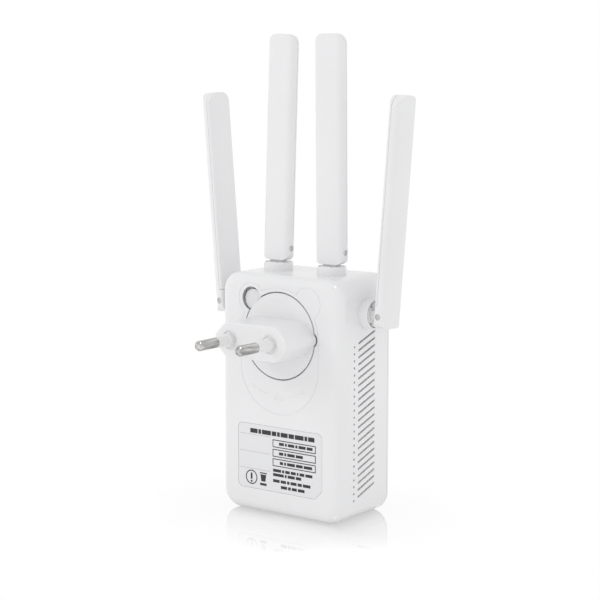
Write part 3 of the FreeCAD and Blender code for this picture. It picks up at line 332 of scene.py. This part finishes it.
def make_round_icon():
    """Ring round a bar with a dot under it."""
    centre, middle, radius = 6.48, 21.2, 2.85
    icon = ring(centre, middle, radius, line=0.42, count=48)
    icon += [rectangle(6.05, 19.5, 0.85, 2.5), disc(centre, 22.85, 0.45, count=24)]
    flat_piece("label_round_icon", icon, INK)


def make_bin_icon():
    """Tapered basket with its lid, over a short bar."""
    top, bottom = 19.5, 22.2
    corners = ((10.9, top), (13.7, top), (13.3, bottom), (11.3, bottom))
    basket = [label_point(right, down) for right, down in corners]
    lid = rectangle(10.6, 18.7, 3.4, 0.45)
    bar = rectangle(10.7, 22.9, 3.2, 0.95)
    flat_piece("label_bin_icon", [basket, lid, bar], INK)


make_title()
make_boxes()
make_lines()
make_rules()
make_round_icon()
make_bin_icon()


# ---- release spring -----------------------------------------------------------------------

def make_spring():
    """The CAD spring as a piece of its own, with its own mesh, on the spring's body."""
    source = frame["nodes"]["release_spring"]
    coil = bpy.data.objects.new("release_spring_coil", source.data.copy())
    coil.matrix_world = source.matrix_world.copy()
    bpy.context.scene.collection.objects.link(coil)
    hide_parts("release_spring")
    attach(coil, BODY_OF["release_spring"])
    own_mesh(coil)


make_spring()


# ---- studio ------------------------------------------------------------------------------

FLOOR_REACH = 6.0
FLOOR_GAP = 0.1 * MM
MIRROR_SHARE = 0.72
MIRROR_REACH = 42 * MM
SURROUND_LEVEL = 0.95
LIT_POINT = Vector((0, 0, 0.09))
CAMERA_PLACE = Vector((-403.79, 539.34, 176.09)) * MM
CAMERA_TURNS = (82.1, -0.045, -142.982)


def math_node(tree, operation, first, second):
    """Math node of two inputs; an input is a socket or a number."""
    node = tree.nodes.new("ShaderNodeMath")
    node.operation = operation
    for slot, value in enumerate((first, second)):
        if isinstance(value, float):
            node.inputs[slot].default_value = value
        else:
            tree.links.new(value, node.inputs[slot])
    return node.outputs[0]


def casing_distance(tree):
    """How far the shaded point lies outside the casing's footprint, summed over X and Y."""
    half = {"X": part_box("front_cover")[1].x, "Y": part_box("rear_tub")[1].y}
    geometry = tree.nodes.new("ShaderNodeNewGeometry")
    split = tree.nodes.new("ShaderNodeSeparateXYZ")
    tree.links.new(geometry.outputs["Position"], split.inputs["Vector"])
    outside = []
    for axis, reach in half.items():
        size = math_node(tree, "ABSOLUTE", split.outputs[axis], 0.0)
        outside.append(math_node(tree, "MAXIMUM", math_node(tree, "SUBTRACT", size, reach), 0.0))
    return math_node(tree, "ADD", *outside)


def floor_material():
    """White that glows evenly, with a mirror that fades out away from the casing."""
    material = bpy.data.materials.new("studio_floor")
    material.use_nodes = True
    tree = material.node_tree
    tree.nodes.clear()
    output = tree.nodes.new("ShaderNodeOutputMaterial")
    white = tree.nodes.new("ShaderNodeEmission")
    white.inputs["Color"].default_value = (1, 1, 1, 1)
    white.inputs["Strength"].default_value = 1.0
    mirror = tree.nodes.new("ShaderNodeBsdfGlossy")
    mirror.inputs["Color"].default_value = (1, 1, 1, 1)
    mirror.inputs["Roughness"].default_value = 0.02
    fade = tree.nodes.new("ShaderNodeMapRange")
    fade.inputs["From Min"].default_value = 0.0
    fade.inputs["From Max"].default_value = MIRROR_REACH
    fade.inputs["To Min"].default_value = MIRROR_SHARE
    fade.inputs["To Max"].default_value = 0.0
    tree.links.new(casing_distance(tree), fade.inputs["Value"])
    blend = tree.nodes.new("ShaderNodeMixShader")
    tree.links.new(fade.outputs["Result"], blend.inputs["Fac"])
    tree.links.new(white.outputs["Emission"], blend.inputs[1])
    tree.links.new(mirror.outputs["BSDF"], blend.inputs[2])
    tree.links.new(blend.outputs["Shader"], output.inputs["Surface"])
    return material


def make_floor():
    """White floor that mirrors the object only next to it."""
    mesh = bpy.data.meshes.new("studio_floor")
    reach = FLOOR_REACH
    corners = [(-reach, -reach, 0), (reach, -reach, 0), (reach, reach, 0), (-reach, reach, 0)]
    mesh.from_pydata(corners, [], [(0, 1, 2, 3)])
    floor = bpy.data.objects.new("studio_floor", mesh)
    floor.location.z = cad_box[0][2] - FLOOR_GAP
    bpy.context.scene.collection.objects.link(floor)
    mesh.materials.append(floor_material())


def make_world():
    """Even white surround, which the camera itself sees at full white like the floor."""
    world = bpy.data.worlds.new("studio")
    world.use_nodes = True
    tree = world.node_tree
    background = tree.nodes["Background"]
    background.inputs["Color"].default_value = (1, 1, 1, 1)
    path = tree.nodes.new("ShaderNodeLightPath")
    level = math_node(tree, "MAXIMUM", path.outputs["Is Camera Ray"], SURROUND_LEVEL)
    tree.links.new(level, background.inputs["Strength"])
    bpy.context.scene.world = world


def make_light(name, place, size, power, diffuse=True, glossy=True):
    """Square light that faces the middle of the object, for shading, for reflections or for both."""
    data = bpy.data.lights.new(name, "AREA")
    data.shape = "SQUARE"
    data.size = size
    data.energy = power
    lamp = bpy.data.objects.new(name, data)
    lamp.location = place
    lamp.rotation_euler = (LIT_POINT - Vector(place)).to_track_quat("-Z", "Y").to_euler()
    lamp.visible_diffuse = diffuse
    lamp.visible_glossy = glossy
    bpy.context.scene.collection.objects.link(lamp)


def make_camera():
    """Camera behind the object and a little above it, turned by degrees about X, then Y, then Z."""
    data = bpy.data.cameras.new("camera")
    data.sensor_width = 36.0
    data.lens = 105.1
    camera = bpy.data.objects.new("camera", data)
    camera.location = CAMERA_PLACE
    camera.rotation_euler = [math.radians(turn) for turn in CAMERA_TURNS]
    bpy.context.scene.collection.objects.link(camera)
    bpy.context.scene.camera = camera


make_floor()
make_world()
make_light("key", (0.85, 0.95, 0.75), size=0.35, power=2.0, glossy=False)
make_light("overhead", (-0.32, 0.30, 1.15), size=0.25, power=2.2, diffuse=False)
make_camera()
bpy.context.scene.view_settings.view_transform = "Standard"

bpy.context.view_layer.update()
